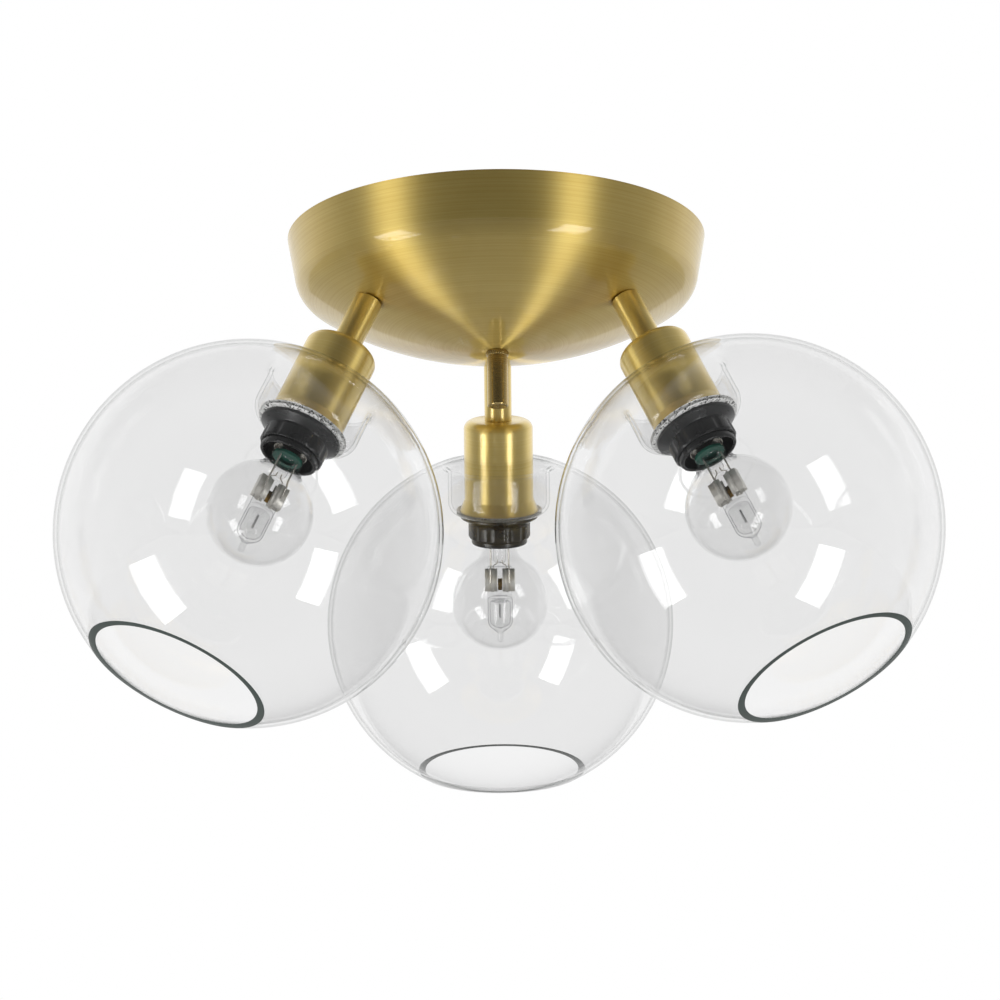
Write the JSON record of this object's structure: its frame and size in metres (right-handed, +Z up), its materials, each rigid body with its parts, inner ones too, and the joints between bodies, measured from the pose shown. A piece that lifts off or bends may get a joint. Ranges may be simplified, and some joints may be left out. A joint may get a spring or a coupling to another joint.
{
  "type": "semi flush ceiling light",
  "caption": "Brass bowl canopy with tilted stems, brass lampholder cups and open clear glass globes round clear bulbs.",
  "frame": {"origin": "middle of the ceiling face, where the strap and the bowl's rim meet the ceiling", "axes": "+Z up into the ceiling; +X along the ceiling strap; the rear lamp leans towards +Y, and the two front lamps lean towards -Y"},
  "size_m": [0.3998, 0.3697, 0.2468],
  "materials": {
    "brass": "spun and brushed satin, lacquered",
    "zinc_plated_steel": "zinc plated",
    "contact_brass": "bright turned and pressed",
    "white_plastic": "moulded, matt",
    "black_plastic": "moulded, semi gloss",
    "clear_glass": "clear blown glass",
    "bulb_glass": "clear thin glass",
    "nickel_cap": "bright pressed",
    "black_insulator": "fused black glass with a solder tip",
    "quartz": "clear fused quartz",
    "nickel_wire": "bright nickel strip and wire",
    "tungsten": "drawn dark wire",
    "lead_insulation": "soft plastic insulation",
    "earth_insulation": "soft plastic insulation"
  },
  "bodies": {
    "fixture": {"canopy": "brass", "ceiling_bracket": "zinc_plated_steel", "bracket_stud": "zinc_plated_steel", "terminal_block": "white_plastic", "terminal_screws": "contact_brass", "earth_terminal": "contact_brass", "earth_lead": "earth_insulation", "lock_nuts": "zinc_plated_steel", "lock_washers": "zinc_plated_steel", "stem_1": "brass", "nipple_1": "zinc_plated_steel", "cup_1": "brass", "holder_cap_1": "black_plastic", "holder_skirt_1": "black_plastic", "socket_shell_1": "contact_brass", "centre_contact_1": "contact_brass", "leads_1": "lead_insulation", "stem_2": "brass", "nipple_2": "zinc_plated_steel", "cup_2": "brass", "holder_cap_2": "black_plastic", "holder_skirt_2": "black_plastic", "socket_shell_2": "contact_brass", "centre_contact_2": "contact_brass", "leads_2": "lead_insulation", "stem_3": "brass", "nipple_3": "zinc_plated_steel", "cup_3": "brass", "holder_cap_3": "black_plastic", "holder_skirt_3": "black_plastic", "socket_shell_3": "contact_brass", "centre_contact_3": "contact_brass", "leads_3": "lead_insulation"},
    "thumb_nut": {"canopy_nut": "brass"},
    "shade_1": {"globe_1": "clear_glass"},
    "ring_1": {"shade_ring_1": "black_plastic"},
    "bulb_1": {"bulb_glass_1": "bulb_glass", "bulb_cap_1": "nickel_cap", "bulb_base_1": "black_insulator", "bulb_capsule_1": "quartz", "bulb_frame_1": "nickel_wire", "bulb_filament_1": "tungsten"},
    "shade_2": {"globe_2": "clear_glass"},
    "ring_2": {"shade_ring_2": "black_plastic"},
    "bulb_2": {"bulb_glass_2": "bulb_glass", "bulb_cap_2": "nickel_cap", "bulb_base_2": "black_insulator", "bulb_capsule_2": "quartz", "bulb_frame_2": "nickel_wire", "bulb_filament_2": "tungsten"},
    "shade_3": {"globe_3": "clear_glass"},
    "ring_3": {"shade_ring_3": "black_plastic"},
    "bulb_3": {"bulb_glass_3": "bulb_glass", "bulb_cap_3": "nickel_cap", "bulb_base_3": "black_insulator", "bulb_capsule_3": "quartz", "bulb_frame_3": "nickel_wire", "bulb_filament_3": "tungsten"}
  },
  "joints": [
    {"name": "thumb_nut_turn", "type": "hinge", "parent": "fixture", "child": "thumb_nut", "pos_m": [0, 0, -0.07], "axis": [0, 0, -1], "continuous": true},
    {"name": "shade_1_drop", "type": "slide", "parent": "fixture", "child": "shade_1", "axis": [-0.3932, -0.227, -0.891], "range_m": [0, 0.01]},
    {"name": "ring_1_turn", "type": "hinge", "parent": "shade_1", "child": "ring_1", "pos_m": [-0.09241, -0.05335, -0.11405], "axis": [-0.3932, -0.227, -0.891], "range_deg": [0, 1800]},
    {"name": "bulb_1_out", "type": "slide", "parent": "fixture", "child": "bulb_1", "axis": [-0.3932, -0.227, -0.891], "range_m": [0, 0.15]},
    {"name": "shade_2_drop", "type": "slide", "parent": "fixture", "child": "shade_2", "axis": [0.3932, -0.227, -0.891], "range_m": [0, 0.01]},
    {"name": "ring_2_turn", "type": "hinge", "parent": "shade_2", "child": "ring_2", "pos_m": [0.09241, -0.05335, -0.11405], "axis": [0.3932, -0.227, -0.891], "range_deg": [0, 1800]},
    {"name": "bulb_2_out", "type": "slide", "parent": "fixture", "child": "bulb_2", "axis": [0.3932, -0.227, -0.891], "range_m": [0, 0.15]},
    {"name": "shade_3_drop", "type": "slide", "parent": "fixture", "child": "shade_3", "axis": [0, 0.454, -0.891], "range_m": [0, 0.01]},
    {"name": "ring_3_turn", "type": "hinge", "parent": "shade_3", "child": "ring_3", "pos_m": [0, 0.10671, -0.11405], "axis": [0, 0.454, -0.891], "range_deg": [0, 1800]},
    {"name": "bulb_3_out", "type": "slide", "parent": "fixture", "child": "bulb_3", "axis": [0, 0.454, -0.891], "range_m": [0, 0.15]}
  ],
  "couplings": [
    {"joint": "ring_1_turn", "follows": "shade_1_drop", "rad_per_m": 3141.6},
    {"joint": "ring_2_turn", "follows": "shade_2_drop", "rad_per_m": 3141.6},
    {"joint": "ring_3_turn", "follows": "shade_3_drop", "rad_per_m": 3141.6}
  ]
}
